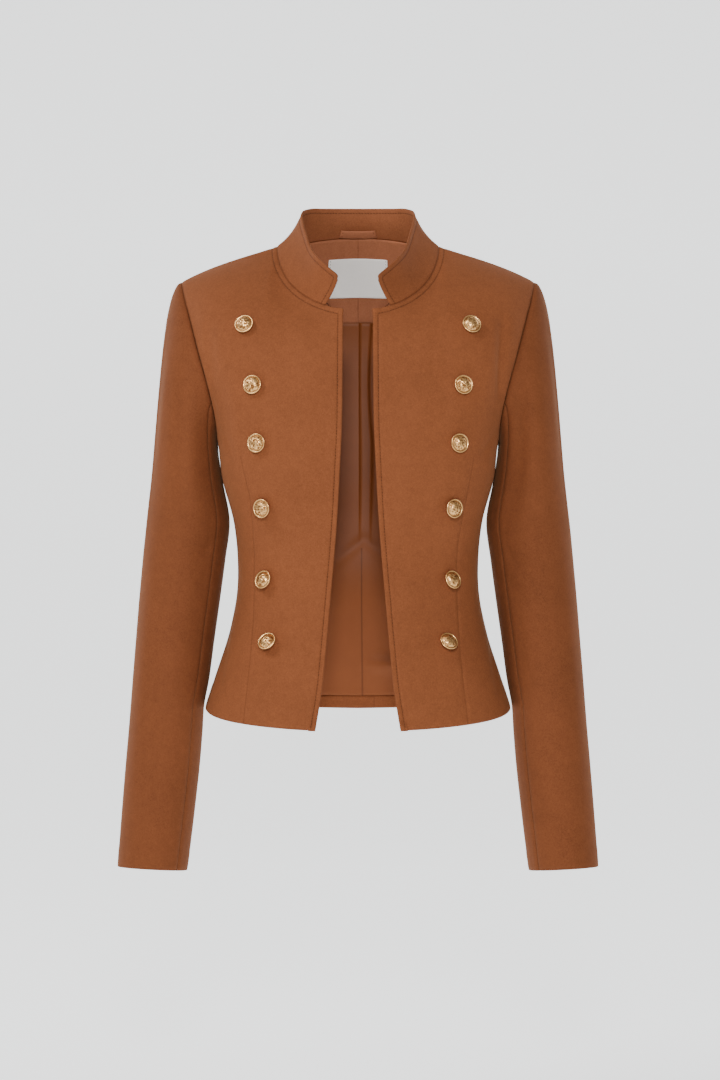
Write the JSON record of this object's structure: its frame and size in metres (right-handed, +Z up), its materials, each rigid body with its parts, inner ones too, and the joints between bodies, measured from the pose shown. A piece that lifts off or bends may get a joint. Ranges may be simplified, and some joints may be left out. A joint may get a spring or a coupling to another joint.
{
  "type": "stand collar blazer",
  "caption": "Fitted open-front blazer with a standing collar, long two-piece sleeves and rows of domed metal buttons, hollow as worn.",
  "frame": {"origin": "on the centre line between the two points where the shoulder seams meet the neck seam, 4 mm lower", "axes": "+Z up, +X to the wearer's left, the front faces -Y"},
  "size_m": [0.515, 0.2213, 0.7194],
  "materials": {
    "cloth": "soft suede-like nap",
    "lining": "satin lining",
    "label": "woven satin",
    "button_metal": "brushed gold"
  },
  "bodies": {
    "root": {"front_left": "cloth", "front_right": "cloth", "back_left": "cloth", "back_right": "cloth", "sleeve_upper_left": "cloth", "sleeve_under_left": "cloth", "sleeve_upper_right": "cloth", "sleeve_under_right": "cloth", "collar": "cloth", "back_neck_facing": "cloth", "back_hem_facing": "cloth", "hanger_loop": "cloth", "back_lining": "lining", "label": "label", "button_left_1": "button_metal", "button_left_2": "button_metal", "button_left_3": "button_metal", "button_left_4": "button_metal", "button_left_5": "button_metal", "button_left_6": "button_metal", "button_right_1": "button_metal", "button_right_2": "button_metal", "button_right_3": "button_metal", "button_right_4": "button_metal", "button_right_5": "button_metal", "button_right_6": "button_metal"}
  },
  "joints": []
}
